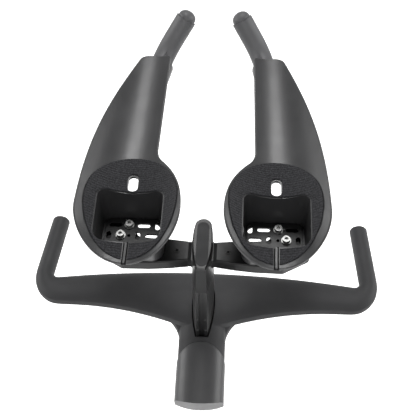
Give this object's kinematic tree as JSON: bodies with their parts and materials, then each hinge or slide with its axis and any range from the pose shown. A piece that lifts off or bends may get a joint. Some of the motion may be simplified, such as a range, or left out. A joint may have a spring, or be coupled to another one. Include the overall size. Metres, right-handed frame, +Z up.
{
  "type": "time trial handlebar",
  "caption": "One-piece aero bar and stem with upturned-grip forearm extensions on a tall spacer riser and a bridge, for riding low with the elbows in cups.",
  "frame": {"origin": "on the steerer axis, at the lower face of the steerer clamp", "axes": "+X to the rider's right, +Y forward, +Z up, as the bar sits on a bicycle on level ground"},
  "size_m": [0.4386, 0.4183, 0.3062],
  "materials": {
    "satin_composite": "satin",
    "anodised": "satin",
    "dark_plastic": "matte",
    "black_plate": "satin",
    "stainless": "bright",
    "loop_fabric": "ribbed loop",
    "rubber": "matte",
    "plug_rubber": "matte"
  },
  "bodies": {
    "root": {"base_bar": "satin_composite", "stem_cover": "satin_composite", "steerer_bolts": "stainless", "riser_gasket": "rubber", "riser_foot": "dark_plastic", "riser_spacer_low": "dark_plastic", "riser_spacer_high": "dark_plastic", "riser_head": "anodised", "head_cap": "dark_plastic", "riser_bolts": "stainless", "bridge_axle": "stainless", "wing_screws": "anodised", "wing_right": "anodised", "wing_left": "anodised", "wing_collar_right": "dark_plastic", "wing_collar_left": "dark_plastic", "arm_right": "satin_composite", "arm_left": "satin_composite", "slotted_plate_right": "black_plate", "slotted_plate_left": "black_plate", "arm_bolts_right": "stainless", "arm_bolts_left": "stainless", "arm_washers_right": "stainless", "arm_washers_left": "stainless", "loop_pad_right": "loop_fabric", "loop_pad_left": "loop_fabric", "grip_right": "satin_composite", "grip_left": "satin_composite", "grip_plug_right": "plug_rubber", "grip_plug_left": "plug_rubber", "grip_screws_right": "stainless", "grip_screws_left": "stainless"}
  },
  "joints": []
}
